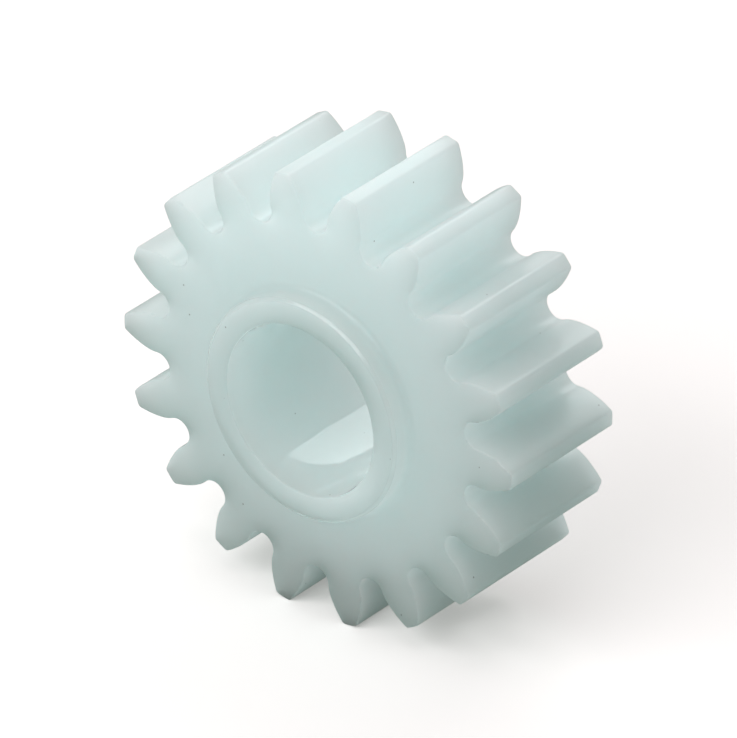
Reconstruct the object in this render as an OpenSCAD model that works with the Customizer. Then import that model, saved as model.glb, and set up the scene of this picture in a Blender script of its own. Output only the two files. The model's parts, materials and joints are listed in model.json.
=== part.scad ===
// One-piece spur gear in translucent white plastic.
// The bore axis lies along Y with the boss towards -Y, and the origin is on the
// axis at the middle of the toothed width. A tooth gap points straight down,
// so the gear stands on two teeth.

/* [Teeth] */
// Module, the pitch diameter divided by the number of teeth
gear_module = 2; // [1.5:0.5:4]
// Number of teeth
tooth_count = 18; // [14:1:22]
// Pressure angle of the involute flanks, in degrees
pressure_angle = 20; // [14.5:0.5:23]
// Width of the toothed rim along the axis
face_width = 13; // [6:0.5:30]
// Radius that rounds the two corners of each tooth tip
tip_corner_r = 0.4; // [0.1:0.05:0.5]

/* [Bore] */
// Diameter of the plain through bore
bore_d = 15.1; // [8:0.1:17]
// Rounding of the two mouths of the bore
bore_edge_r = 0.1; // [0.1:0.05:0.5]

/* [Boss] */
// Outside diameter of the raised boss round the bore
boss_d = 19.6; // [18:0.1:25]
// Height of the boss above the front face
boss_height = 2; // [1:0.25:6]
// Rounding of the boss's outer rim
boss_rim_r = 0.3; // [0.1:0.05:0.5]
// Fillet between the boss and the front face
boss_fillet_r = 0.6; // [0.2:0.1:0.9]

/* [Hidden] */

plastic = [0.86, 0.92, 0.92];
round_segments = 96;
// Straight steps on one tooth tip corner, one involute flank and half a root
corner_steps = 4;
flank_steps = 7;
root_steps = 6;
// Root depth below the pitch circle, in modules
dedendum_factor = 1.25;
// Overlap between solids that are joined, and run-out of a cut past a face
overlap = 1;

pitch_r = gear_module * tooth_count / 2;
tip_r = pitch_r + gear_module;
root_r = pitch_r - dedendum_factor * gear_module;
base_r = pitch_r * cos(pressure_angle);
tooth_spacing = 360 / tooth_count;
first_tooth_angle = tooth_spacing / 2 - 90;
bore_r = bore_d / 2;
boss_r = boss_d / 2;
front = face_width / 2;

// Half the angle that a tooth takes up on the base circle
base_half_angle = tooth_spacing / 4 + involute(pressure_angle);
// Each root is one full arc that joins the two radial lines below the flanks
root_centre_r = root_r / (1 - sin(tooth_spacing / 2 - base_half_angle));
root_arc_r = root_centre_r - root_r;
// The tip corner touches both the tip circle and the flank
corner_r = tip_r - tip_corner_r;
corner_angle = half_tooth_angle(corner_r) - tip_corner_r / base_r * 180 / PI;
flank_top_r = norm([base_r, base_r * tan(acos(base_r / corner_r)) + tip_corner_r]);

// Involute function, in degrees
function involute(angle) = tan(angle) * 180 / PI - angle;

// Angle from a tooth's centre line to its flank at radius r
function half_tooth_angle(r) = base_half_angle - involute(acos(base_r / r));

// Direction of the flank's outward normal at radius r
function flank_normal(r) = half_tooth_angle(r) + 90 - acos(base_r / r);

function polar(r, angle) = [r * cos(angle), r * sin(angle)];

// Value at step i of count, going evenly from start to end
function blend(start, end, i, count) = start + (end - start) * i / count;

function tip_corner() = [
    for (i = [0 : corner_steps])
        polar(corner_r, corner_angle)
            + polar(tip_corner_r, blend(corner_angle, flank_normal(flank_top_r), i, corner_steps))
];

function flank() = [
    for (i = [1 : flank_steps])
        let (r = blend(flank_top_r, base_r, i, flank_steps))
            polar(r, half_tooth_angle(r))
];

function half_root() = [
    for (i = [0 : root_steps])
        polar(root_centre_r, tooth_spacing / 2)
            - polar(root_arc_r, blend(base_half_angle + 90, tooth_spacing / 2, i, root_steps))
];

// The other half of a tooth, without the root point that two teeth share
function mirrored(points) = [
    for (i = [len(points) - 2 : -1 : 0])
        [points[i].x, -points[i].y]
];

function turned(points, angle) = [
    for (p = points)
        [p.x * cos(angle) - p.y * sin(angle), p.x * sin(angle) + p.y * cos(angle)]
];

function tooth() =
    let (upper = concat(tip_corner(), flank(), half_root()))
        concat(mirrored(upper), [[tip_r, 0]], upper);

function gear_outline() = [
    for (i = [0 : tooth_count - 1])
        each turned(tooth(), first_tooth_angle + i * tooth_spacing)
];

module toothed_rim() {
    linear_extrude(face_width, center = true)
        polygon(gear_outline());
}

// Square corner piece outside a quarter circle whose centre is at [r, r]
module corner_waste(r) {
    difference() {
        square(r);
        translate([r, r])
            circle(r, $fn = round_segments);
    }
}

module boss_profile() {
    difference() {
        square([boss_r, front + boss_height]);
        translate([boss_r, front + boss_height])
            rotate(180)
                corner_waste(boss_rim_r);
    }
    translate([boss_r, front])
        corner_waste(boss_fillet_r);
}

module boss() {
    rotate_extrude($fn = round_segments)
        boss_profile();
}

// Half section of the bore, with a rounded mouth at each end
module bore_profile() {
    translate([0, -front - overlap])
        square([bore_r, face_width + boss_height + 2 * overlap]);
    translate([bore_r, -front])
        corner_waste(bore_edge_r);
    translate([bore_r, front + boss_height])
        mirror([0, 1])
            corner_waste(bore_edge_r);
}

module bore() {
    rotate_extrude($fn = round_segments)
        bore_profile();
}

module spur_gear() {
    color(plastic)
        rotate([90, 0, 0])
            difference() {
                union() {
                    toothed_rim();
                    boss();
                }
                bore();
            }
}

spur_gear();
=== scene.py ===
"""Finished look of a one-piece spur gear in translucent white plastic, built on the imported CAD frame.

Lengths are metres and the frame is the CAD's own: the bore lies along Y, the boss faces -Y and +Z is up.
The gear is one closed mesh, a grid of rings and columns. Each ring goes once round the axis, and the rings
follow one another along the teeth, in over the back face, through the bore, over the boss and out over the
front face. Each column joins the points of all the rings that have the same place in the tooth outline.
"""
import json
import math

import bpy
import numpy as np
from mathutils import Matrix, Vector


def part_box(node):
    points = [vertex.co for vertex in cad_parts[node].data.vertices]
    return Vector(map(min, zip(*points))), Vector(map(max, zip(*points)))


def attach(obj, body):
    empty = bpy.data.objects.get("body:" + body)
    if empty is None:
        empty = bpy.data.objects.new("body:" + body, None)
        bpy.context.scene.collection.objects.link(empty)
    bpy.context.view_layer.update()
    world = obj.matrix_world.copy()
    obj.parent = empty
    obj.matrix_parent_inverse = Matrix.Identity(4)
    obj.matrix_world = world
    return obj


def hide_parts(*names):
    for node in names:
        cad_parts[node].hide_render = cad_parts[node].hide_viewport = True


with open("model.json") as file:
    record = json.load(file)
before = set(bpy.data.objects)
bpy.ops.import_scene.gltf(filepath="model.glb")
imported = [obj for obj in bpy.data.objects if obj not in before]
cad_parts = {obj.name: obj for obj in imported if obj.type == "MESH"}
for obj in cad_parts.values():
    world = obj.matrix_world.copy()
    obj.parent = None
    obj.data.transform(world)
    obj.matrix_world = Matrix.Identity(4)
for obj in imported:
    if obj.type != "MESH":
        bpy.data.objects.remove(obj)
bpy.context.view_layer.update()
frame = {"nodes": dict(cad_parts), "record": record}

MM = 0.001
NODE = "spur_gear"

# Tooth form, which the frame does not state, with the tooth's heights above and below the pitch circle
# in modules
TEETH = 18
PRESSURE_ANGLE = math.radians(20)
ADDENDUM, DEDENDUM = 1, 1.25
TIP_CORNER_R = 0.4 * MM
# Small roundings and chamfers of the moulded part
TOOTH_EDGE_R = 0.12 * MM
BOSS_CHAMFER, CHAMFER_EDGE_R = 0.22 * MM, 0.06 * MM
BOSS_FILLET_R = 0.6 * MM
BORE_EDGE_R = 0.1 * MM
# Dents in the front ends of the teeth: degrees round the axis, share of the tip radius, and the
# width and depth in mm
TOOTH_DENTS = (
    (-14.4, 0.825, 1.0, 0.12),
    (1.2, 0.985, 1.0, 0.12),
    (4.3, 0.92, 1.2, 0.15),
    (26.3, 0.815, 0.7, 0.1),
)
# Dent in the bore's wall: degrees round the axis, share of half the toothed width, and the width
# and depth in mm
BORE_DENT = 221, 0.35, 0.8, 0.03
# Wear of the boss's rim and of the teeth's edges. Every other place has 0.
RIM_WEAR, TOOTH_WEAR = 1.3, 0.5
# Steps of the mesh along each stretch of half a tooth, and across each stretch of rings
TIP_STEPS, CORNER_STEPS, FLANK_STEPS, ROOT_STEPS = 2, 4, 10, 8
EDGE_STEPS, RIM_STEPS, FLANK_ROWS, BORE_ROWS, BOSS_STEPS = 5, 2, 16, 16, 5
TOOTH_FACE_STEPS, WEB_STEPS = 10, 8
# On the faces the columns of a tooth draw in to this share of its base angle, and the teeth's grid
# ends this far inside the root circle
NECK_SHARE = 0.84
CORE_INSET = 0.8 * MM

# Plastic: colours, depth of light, roughness and heights of the surface texture
CLOUD_THIN = (0.78, 0.93, 0.91, 1)
CLOUD_THICK = (0.8, 0.945, 0.93, 1)
WORN_TINT = (0.9, 0.96, 0.955, 1)
LIGHT_DEPTH = 30 * MM
RED_DEPTH = 0.85
FORWARD_SCATTER = 0.7
IOR = 1.53
BORE_ROUGHNESS, TOOTH_ROUGHNESS, EDGE_ROUGHNESS, SMEARS = 0.05, 0.3, 0.12, 0.04
WAVINESS = 0.1 * MM
GRAIN = 0.001 * MM
# Widths of the lumps in each part of the texture, and the range that noise mostly keeps to
WEAR_SIZE, CLOUD_SIZE, SMEAR_SIZE, SINK_SIZE, GRAIN_SIZE = 1.5 * MM, 7 * MM, 3.5 * MM, 4 * MM, 0.25 * MM
NOISE_LOW, NOISE_HIGH = 0.3, 0.7
# A place starts to look worn where the noise plus WEAR_WEIGHT times its wear passes WEAR_START, and is
# fully worn at WEAR_FULL, where WORN_SHARE of the worn tint shows
WEAR_WEIGHT, WEAR_START, WEAR_FULL, WORN_SHARE = 0.5, 0.85, 0.95, 0.1
# The bore's gloss ends between these two multiples of the bore's radius
BORE_GLOSS_ENDS = 1.002, 1.01
# Specks of dirt in the plastic, solid out to SPECK_CORE of their radius
SPECK_TINT = (0.12, 0.15, 0.13, 1)
SPECK_R = 0.09 * MM
SPECK_CORE = 0.5
SPECK_SPACING = 2.5 * MM
SPECK_STRENGTH = 0.6
# Light, and the floor's glow as the camera sees it and as it lights the gear
SOFTBOX_COLOUR, DOME_COLOUR = (0.92, 0.985, 0.995), (0.93, 0.985, 0.98)
FLOOR_TINT = (0.98, 0.9, 0.89, 1)
SHADE_TINT = (0.27, 0.315, 0.295, 1)
FLOOR_GLOW, SHADE_GLOW = 0.25, 0.33
# Azimuth and elevation of the view, from -Y, and the width and centre of the picture
VIEW_ANGLES = 39.25, 30.6
VIEW_WIDTH = 59.14 * MM
VIEW_CENTRE = Vector((0.09, 0.08, 0)) * MM
# Half the floor's width, and how far off the lights and the camera stand
FLOOR_HALF, LIGHT_DISTANCE, CAMERA_DISTANCE = 0.6, 0.6, 1.1


def mount(name):
    """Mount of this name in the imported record."""
    return next(m for m in frame["record"]["mounts"] if m["name"] == name)


# Sizes from the frame. The toothed width lies evenly about y = 0.
NODE_LOW, NODE_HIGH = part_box(NODE)
TIP_R = NODE_HIGH.x
BACK = mount("back_face")["pos_m"][1]
FRONT = -BACK
BOSS_FACE = mount("hub_face")["pos_m"][1]
BORE_R = mount("bore")["dims"]["r_mm"] * MM


def boss_radius():
    """Largest radius of the CAD node on the outer half of the boss."""
    middle = (FRONT + BOSS_FACE) / 2
    return max(
        math.hypot(v.co.x, v.co.z)
        for v in frame["nodes"][NODE].data.vertices
        if v.co.y < middle
    )


BOSS_R = boss_radius()
MODULE = 2 * TIP_R / (TEETH + 2 * ADDENDUM)
PITCH_R = MODULE * TEETH / 2
ROOT_R = PITCH_R - DEDENDUM * MODULE
BASE_R = PITCH_R * math.cos(PRESSURE_ANGLE)


# ---------------------------------------------------------------- tooth outline

def involute(angle):
    """Involute function of a pressure angle."""
    return math.tan(angle) - angle


# Angle from a tooth's centre line to the start of its flank, on the base circle
BASE_HALF_ANGLE = math.pi / (2 * TEETH) + involute(PRESSURE_ANGLE)


def half_tooth_angle(r):
    """Angle from a tooth's centre line to its flank at radius r."""
    return BASE_HALF_ANGLE - involute(math.acos(min(1.0, BASE_R / r)))


def flank_normal(r):
    """Direction of the flank's outward normal at radius r, from the tooth's centre line."""
    return half_tooth_angle(r) + math.pi / 2 - math.acos(min(1.0, BASE_R / r))


def polar(r, angle):
    """Flat point at a distance from the axis and an angle in radians."""
    return np.array([r * math.cos(angle), r * math.sin(angle)])


def half_tooth():
    """Columns of the grid from a tip's centre to the next root's centre.

    Each column is its point on the outline, the angle of the outward normal there, and the angle
    at which the column crosses the circles further in.

    The tip corner's arc is centred on an involute that runs one corner radius inside the flank, and
    the flank ends one corner radius further out along the same normal. normal_length is how far along
    that normal the flank's end is from the base circle.
    """
    points, normals = [], []
    corner_r = TIP_R - TIP_CORNER_R
    corner_angle = half_tooth_angle(corner_r) - TIP_CORNER_R / BASE_R
    normal_length = BASE_R * math.tan(math.acos(BASE_R / corner_r)) + TIP_CORNER_R
    flank_top = math.hypot(BASE_R, normal_length)
    for angle in np.linspace(0, corner_angle, TIP_STEPS + 1)[:-1]:
        points.append(polar(TIP_R, angle))
        normals.append(angle)
    for angle in np.linspace(corner_angle, flank_normal(flank_top), CORNER_STEPS + 1):
        points.append(polar(corner_r, corner_angle) + polar(TIP_CORNER_R, angle))
        normals.append(angle)
    for r in np.linspace(flank_top, BASE_R, FLANK_STEPS + 1)[1:]:
        points.append(polar(r, half_tooth_angle(r)))
        normals.append(flank_normal(r))
    # Inside the base circle the flanks run straight towards the axis, and one arc between them is the root
    gap = math.pi / TEETH
    root_centre = ROOT_R / (1 - math.sin(gap - BASE_HALF_ANGLE))
    root_arc = root_centre - ROOT_R
    for angle in np.linspace(BASE_HALF_ANGLE + math.pi / 2, gap, ROOT_STEPS + 1):
        points.append(polar(root_centre, gap) - polar(root_arc, angle))
        normals.append(angle)
    foot = len(points) - ROOT_STEPS - 1
    fan = np.interp(range(len(points)), [0, foot, len(points) - 1], [0, NECK_SHARE * BASE_HALF_ANGLE, gap])
    return list(zip(points, normals, fan))


def gear_columns():
    """All the columns round the gear, starting beside the bottom gap: points, unit normals and angles."""
    upper = half_tooth()
    lower = [(p * np.array([1, -1]), -normal, -angle) for p, normal, angle in reversed(upper[1:-1])]
    points, normals, angles = [], [], []
    for i in range(TEETH):
        turn = -math.pi / 2 + math.pi / TEETH + i * 2 * math.pi / TEETH
        c, s = math.cos(turn), math.sin(turn)
        for p, normal, angle in lower + upper:
            points.append([p[0] * c - p[1] * s, p[0] * s + p[1] * c])
            normals.append(polar(1, normal + turn))
            angles.append(angle + turn)
    return np.array(points), np.array(normals), np.array(angles)


OUTLINE, OUTLINE_NORMALS, COLUMN_ANGLES = gear_columns()
COLUMNS = len(OUTLINE)


# ---------------------------------------------------------------- rings

def ring(flat, y):
    """A ring of points from flat (x, z) points at one y."""
    return np.column_stack([flat[:, 0], np.full(COLUMNS, y), flat[:, 1]])


def circle(r, y):
    """Round ring about the axis."""
    return ring(np.column_stack([r * np.cos(COLUMN_ANGLES), r * np.sin(COLUMN_ANGLES)]), y)


def outline_ring(inset, y):
    """Ring that follows the teeth, this far inside their outline."""
    return ring(OUTLINE - OUTLINE_NORMALS * inset, y)


def between(start, end, steps):
    """Rings between two rings of one surface, closer together near both of them."""
    shares = (1 - np.cos(np.linspace(0, math.pi, steps + 1)[1:-1])) / 2
    return [start * (1 - s) + end * s for s in shares]


def quarter(steps):
    """Cosine and sine at each step of a quarter turn."""
    angles = np.linspace(0, math.pi / 2, steps + 1)
    return list(zip(np.cos(angles), np.sin(angles)))


def tooth_edge(face_y, inwards):
    """Rounded edge of the teeth, from the flanks to a face; inwards is the face's way into the solid."""
    r = TOOTH_EDGE_R
    return [outline_ring(r * (1 - c), face_y + inwards * r * (1 - s)) for c, s in quarter(EDGE_STEPS)]


def bore_mouth(face_y, inwards):
    """Rounded mouth of the bore, from the bore's wall to a face."""
    r = BORE_EDGE_R
    return [circle(BORE_R + r * (1 - c), face_y + inwards * r * (1 - s)) for c, s in quarter(EDGE_STEPS)]


def boss_rim():
    """Rim of the boss, a chamfer with two rounded corners, from the boss's side to its end."""
    r = CHAMFER_EDGE_R
    # Each corner's arc starts this far from where the side and the end would meet, and turns 45 degrees
    corner = BOSS_CHAMFER + r * math.tan(math.pi / 8)
    turn = quarter(2 * RIM_STEPS)
    side = [circle(BOSS_R - r * (1 - c), BOSS_FACE + corner - r * s) for c, s in turn[:RIM_STEPS + 1]]
    end = [circle(BOSS_R - corner + r * c, BOSS_FACE + r * (1 - s)) for c, s in turn[RIM_STEPS:]]
    return side + end


def boss_fillet():
    """Fillet at the boss's foot, from its side to the front face."""
    r = BOSS_FILLET_R
    return [circle(BOSS_R + r * (1 - c), FRONT - r * (1 - s)) for c, s in quarter(EDGE_STEPS)]


def face(edge, inner, y):
    """Rings of a toothed face, from the teeth's rounded edge inwards to a round ring."""
    core = circle(ROOT_R - CORE_INSET, y)
    return between(edge, core, TOOTH_FACE_STEPS) + [core] + between(core, inner, WEB_STEPS)


def gear_rings():
    """All the rings in order, and how worn each is: teeth, back face, bore, boss, front face, teeth."""
    front_edge, back_edge = tooth_edge(FRONT, 1), tooth_edge(BACK, -1)
    front_mouth, back_mouth = bore_mouth(BOSS_FACE, 1), bore_mouth(BACK, -1)
    rim, fillet = boss_rim(), boss_fillet()
    parts = [
        (front_edge[::-1], TOOTH_WEAR), (between(front_edge[0], back_edge[0], FLANK_ROWS), 0),
        (back_edge, TOOTH_WEAR),
        (face(back_edge[-1], back_mouth[-1], BACK), 0),
        (back_mouth[::-1], 0), (between(back_mouth[0], front_mouth[0], BORE_ROWS), 0), (front_mouth, 0),
        (between(front_mouth[-1], rim[-1], BOSS_STEPS), 0),
        (rim[::-1], RIM_WEAR), (between(rim[0], fillet[0], BOSS_STEPS), 0), (fillet, 0),
        (face(front_edge[-1], fillet[-1], FRONT)[::-1], 0),
    ]
    rings = np.array([one for part, worn in parts for one in part])
    return rings, np.repeat([float(worn) for part, worn in parts for one in part], COLUMNS)


def spot(angle, r, y):
    """Point at an angle in degrees and a distance from the axis."""
    x, z = polar(r, math.radians(angle))
    return np.array([x, y, z])


def press(points, centre, inwards, across, depth):
    """Press a round dent into the points near its centre."""
    away = np.linalg.norm(points - centre, axis=1) / (across / 2)
    points += np.outer(depth * np.clip(1 - away ** 2, 0, 1) ** 2, inwards)


def press_dents(points):
    """Press all the dents into the gear's points."""
    for angle, share, across, depth in TOOTH_DENTS:
        press(points, spot(angle, share * TIP_R, FRONT), (0, 1, 0), across * MM, depth * MM)
    angle, share, across, depth = BORE_DENT
    press(points, spot(angle, BORE_R, share * BACK), spot(angle, 1, 0), across * MM, depth * MM)


def grid_faces(rows, columns):
    """Quads of a grid that closes in both directions."""
    here = np.arange(rows * columns).reshape(rows, columns)
    next_row = np.roll(here, -1, axis=0)
    next_column = np.roll(here, -1, axis=1)
    opposite = np.roll(next_row, -1, axis=1)
    return np.stack([here, next_row, opposite, next_column], axis=-1).reshape(-1, 4)


def make_mesh(name, points, quads, wear):
    """Smooth-shaded piece whose points carry their wear."""
    mesh = bpy.data.meshes.new(name)
    mesh.from_pydata(points.tolist(), [], quads.tolist())
    mesh.update()
    mesh.shade_smooth()
    mesh.attributes.new("wear", "FLOAT", "POINT").data.foreach_set("value", wear)
    piece = bpy.data.objects.new(name, mesh)
    bpy.context.scene.collection.objects.link(piece)
    return piece


# ---------------------------------------------------------------- materials

class Shading:
    """A new material, and short ways to add linked nodes to it."""

    def __init__(self, name):
        self.material = bpy.data.materials.new(name)
        self.material.use_nodes = True
        self.tree = self.material.node_tree
        self.tree.nodes.clear()

    def node(self, kind, **inputs):
        """Add a node. An input is a value, or the output socket of another node; _ stands for a space."""
        node = self.tree.nodes.new(kind)
        for key, value in inputs.items():
            self.set(node.inputs[key.replace("_", " ")], value)
        return node

    def set(self, socket, value):
        """Link a socket to an input, or give the input a plain value."""
        if isinstance(value, bpy.types.NodeSocket):
            self.tree.links.new(value, socket)
        else:
            socket.default_value = value

    def noise(self, vector, feature, detail, roughness=0.5):
        """Noise from 0 to 1 whose lumps are about one feature across."""
        return self.node(
            "ShaderNodeTexNoise", Vector=vector, Scale=1 / feature, Detail=detail, Roughness=roughness
        ).outputs["Fac"]

    def remap(self, value, low, high, to_low, to_high):
        """Straight ramp from (low, to_low) to (high, to_high), clamped at both ends."""
        node = self.node(
            "ShaderNodeMapRange", Value=value, From_Min=low, From_Max=high, To_Min=to_low, To_Max=to_high
        )
        return node.outputs["Result"]

    def calculate(self, operation, first, second):
        """Result of one arithmetic operation on two values."""
        node = self.tree.nodes.new("ShaderNodeMath")
        node.operation = operation
        self.set(node.inputs[0], first)
        self.set(node.inputs[1], second)
        return node.outputs["Value"]

    def mix(self, share, first, second):
        """Colour between first and second."""
        node = self.tree.nodes.new("ShaderNodeMix")
        node.data_type = "RGBA"
        # The node has sockets for each kind of data, and these are the ones for colours
        first_colour, second_colour = node.inputs[6:8]
        result = node.outputs[2]
        self.set(node.inputs["Factor"], share)
        self.set(first_colour, first)
        self.set(second_colour, second)
        return result

    def join(self, share, first, second):
        """Shader node that is first where share is 0 and second where it is 1."""
        node = self.node("ShaderNodeMixShader", Fac=share)
        self.set(node.inputs[1], first.outputs[0])
        self.set(node.inputs[2], second.outputs[0])
        return node

    def surface(self, shader):
        """Finish the material with this shader."""
        self.node("ShaderNodeOutputMaterial", Surface=shader.outputs[0])
        return self.material


def plastic():
    """Unfilled nylon: cloudy and glossy, so deep that light crosses a whole tooth."""
    shading = Shading("cloudy_plastic")
    place = shading.node("ShaderNodeTexCoord").outputs["Object"]
    worn = wear_patches(shading, place)
    relief = surface_relief(shading, place)
    body = shading.node(
        "ShaderNodeBsdfPrincipled", Base_Color=cloudy_tint(shading, place, worn),
        Roughness=surface_roughness(shading, place, worn), IOR=IOR, Normal=relief,
        Subsurface_Weight=1, Subsurface_Radius=(RED_DEPTH, 1, 1), Subsurface_Scale=LIGHT_DEPTH,
        Subsurface_Anisotropy=FORWARD_SCATTER
    )
    dirt = shading.node("ShaderNodeBsdfDiffuse", Color=SPECK_TINT)
    return shading.surface(shading.join(specks(shading, place), body, dirt))


def wear_patches(shading, place):
    """1 where the plastic is worn smooth, in patches along the edges, 0 elsewhere."""
    wear = shading.node("ShaderNodeAttribute")
    wear.attribute_name = "wear"
    chance = shading.calculate("MULTIPLY", wear.outputs["Fac"], WEAR_WEIGHT)
    total = shading.calculate("ADD", shading.noise(place, WEAR_SIZE, detail=3), chance)
    return shading.remap(total, WEAR_START, WEAR_FULL, 0, 1)


def cloudy_tint(shading, place, worn):
    """Colour that drifts between two tints, and is a little paler where it is worn."""
    clouds = shading.remap(shading.noise(place, CLOUD_SIZE, detail=3), NOISE_LOW, NOISE_HIGH, 0, 1)
    tint = shading.mix(clouds, CLOUD_THIN, CLOUD_THICK)
    return shading.mix(shading.calculate("MULTIPLY", worn, WORN_SHARE), tint, WORN_TINT)


def surface_roughness(shading, place, worn):
    """Glossy bore, satin teeth with smears, and smoother worn patches."""
    # Distance from the bore's axis, which is Y
    flat = shading.node("ShaderNodeVectorMath", Vector=place)
    flat.operation = "MULTIPLY"
    flat.inputs[1].default_value = (1, 0, 1)
    from_axis = shading.node("ShaderNodeVectorMath", Vector=flat.outputs["Vector"])
    from_axis.operation = "LENGTH"
    wall, mouth = (share * BORE_R for share in BORE_GLOSS_ENDS)
    gloss = shading.remap(from_axis.outputs["Value"], wall, mouth, BORE_ROUGHNESS, TOOTH_ROUGHNESS)
    smears = shading.noise(place, SMEAR_SIZE, detail=4, roughness=0.6)
    gloss = shading.calculate("ADD", gloss, shading.remap(smears, NOISE_LOW, NOISE_HIGH, 0, SMEARS))
    return shading.remap(worn, 0, 1, gloss, EDGE_ROUGHNESS)


def surface_relief(shading, place):
    """Normal of a surface with slight sink waves under a fine grain."""
    sink = shading.noise(place, SINK_SIZE, detail=1)
    waviness = shading.node("ShaderNodeBump", Height=sink, Distance=WAVINESS)
    grain = shading.noise(place, GRAIN_SIZE, detail=2)
    relief = shading.node("ShaderNodeBump", Height=grain, Distance=GRAIN, Normal=waviness.outputs["Normal"])
    return relief.outputs["Normal"]


def specks(shading, place):
    """SPECK_STRENGTH in a few tiny scattered dots, 0 elsewhere."""
    dots = shading.node("ShaderNodeTexVoronoi", Vector=place, Scale=1 / SPECK_SPACING).outputs["Distance"]
    edge = SPECK_R / SPECK_SPACING
    return shading.remap(dots, SPECK_CORE * edge, edge, SPECK_STRENGTH, 0)


def floor_material():
    """Glowing table: pale for the camera, dimmer for the gear, which keeps its underside in shade."""
    shading = Shading("floor")

    def table(tint, glow):
        """Matt surface that also glows in its own tint."""
        surface = shading.node("ShaderNodeAddShader")
        matt = shading.node("ShaderNodeBsdfDiffuse", Color=tint)
        glowing = shading.node("ShaderNodeEmission", Color=tint, Strength=glow)
        shading.set(surface.inputs[0], matt.outputs[0])
        shading.set(surface.inputs[1], glowing.outputs[0])
        return surface

    camera_ray = shading.node("ShaderNodeLightPath").outputs["Is Camera Ray"]
    shade, seen = table(SHADE_TINT, SHADE_GLOW), table(FLOOR_TINT, FLOOR_GLOW)
    return shading.surface(shading.join(camera_ray, shade, seen))


# ---------------------------------------------------------------- the gear

rings, wear = gear_rings()
points = rings.reshape(-1, 3)
press_dents(points)
gear = make_mesh("gear", points, grid_faces(len(rings), COLUMNS), wear)
gear.data.materials.append(plastic())
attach(gear, "root")
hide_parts(NODE)


# ---------------------------------------------------------------- stage, light and camera

def make_floor():
    """Flat floor under the gear's lowest teeth."""
    half, z = FLOOR_HALF, NODE_LOW.z
    corners = [(-half, -half, z), (half, -half, z), (half, half, z), (-half, half, z)]
    mesh = bpy.data.meshes.new("floor")
    mesh.from_pydata(corners, [], [(0, 1, 2, 3)])
    floor = bpy.data.objects.new("floor", mesh)
    floor.data.materials.append(floor_material())
    bpy.context.scene.collection.objects.link(floor)


def heading(azimuth, elevation):
    """Unit vector from the gear towards these angles in degrees; azimuth 0 is in front, on -Y."""
    a, e = math.radians(azimuth), math.radians(elevation)
    return Vector((math.sin(a) * math.cos(e), -math.cos(a) * math.cos(e), math.sin(e)))


def aim(thing, place, target):
    """Put a light or camera at a place and point it at a target."""
    thing.location = place
    thing.rotation_mode = "QUATERNION"
    thing.rotation_quaternion = (target - place).to_track_quat("-Z", "Y")


def add_softbox(name, azimuth, elevation, width, height, radiance):
    """Rectangular light that looks width by height degrees across, as seen from the gear."""
    light = bpy.data.lights.new(name, "AREA")
    light.shape = "RECTANGLE"
    light.size = 2 * LIGHT_DISTANCE * math.tan(math.radians(width / 2))
    light.size_y = 2 * LIGHT_DISTANCE * math.tan(math.radians(height / 2))
    # The power of a matt emitter is pi times its radiance times its area
    light.energy = radiance * math.pi * light.size * light.size_y
    light.color = SOFTBOX_COLOUR
    lamp = bpy.data.objects.new(name, light)
    bpy.context.scene.collection.objects.link(lamp)
    aim(lamp, heading(azimuth, elevation) * LIGHT_DISTANCE, Vector((0, 0, 0)))


def add_dome(level, overhead, behind):
    """Faint light from all round: level everywhere, and more overhead and opposite the camera."""
    world = bpy.data.worlds.new("studio")
    world.use_nodes = True
    nodes, link = world.node_tree.nodes, world.node_tree.links.new
    background = nodes["Background"]
    background.inputs["Color"].default_value = (*DOME_COLOUR, 1)
    direction = nodes.new("ShaderNodeTexCoord").outputs["Generated"]

    def ramp(towards, start, end):
        """Smooth change from start, at right angles to a direction, to end, straight towards it."""
        along = nodes.new("ShaderNodeVectorMath")
        along.operation = "DOT_PRODUCT"
        along.inputs[1].default_value = towards
        node = nodes.new("ShaderNodeMapRange")
        node.interpolation_type = "SMOOTHSTEP"
        node.inputs["To Min"].default_value = start
        node.inputs["To Max"].default_value = end
        link(direction, along.inputs[0])
        link(along.outputs["Value"], node.inputs["Value"])
        return node.outputs["Result"]

    strength = nodes.new("ShaderNodeMath")
    strength.operation = "ADD"
    link(ramp(Vector((0, 0, 1)), level, level + overhead), strength.inputs[0])
    link(ramp(heading(VIEW_ANGLES[0] + 180, 0), 0, behind), strength.inputs[1])
    link(strength.outputs["Value"], background.inputs["Strength"])
    bpy.context.scene.world = world


def add_camera():
    """Camera that looks at VIEW_CENTRE from far away, with a narrow field VIEW_WIDTH across."""
    camera_data = bpy.data.cameras.new("camera")
    camera_data.lens = camera_data.sensor_width * CAMERA_DISTANCE / VIEW_WIDTH
    camera = bpy.data.objects.new("camera", camera_data)
    bpy.context.scene.collection.objects.link(camera)
    aim(camera, VIEW_CENTRE + heading(*VIEW_ANGLES) * CAMERA_DISTANCE, VIEW_CENTRE)
    bpy.context.scene.camera = camera


make_floor()
add_softbox("back_light", azimuth=198, elevation=44, width=38, height=22, radiance=2.4)
add_softbox("low_back_light", azimuth=225, elevation=11, width=50, height=18, radiance=0.9)
add_softbox("front_light", azimuth=-12, elevation=41, width=62, height=24, radiance=3.85)
add_softbox("top_light", azimuth=20, elevation=75, width=40, height=30, radiance=1.35)
add_dome(level=0.2, overhead=0.12, behind=0.42)
add_camera()
bpy.context.scene.view_settings.view_transform = "Standard"
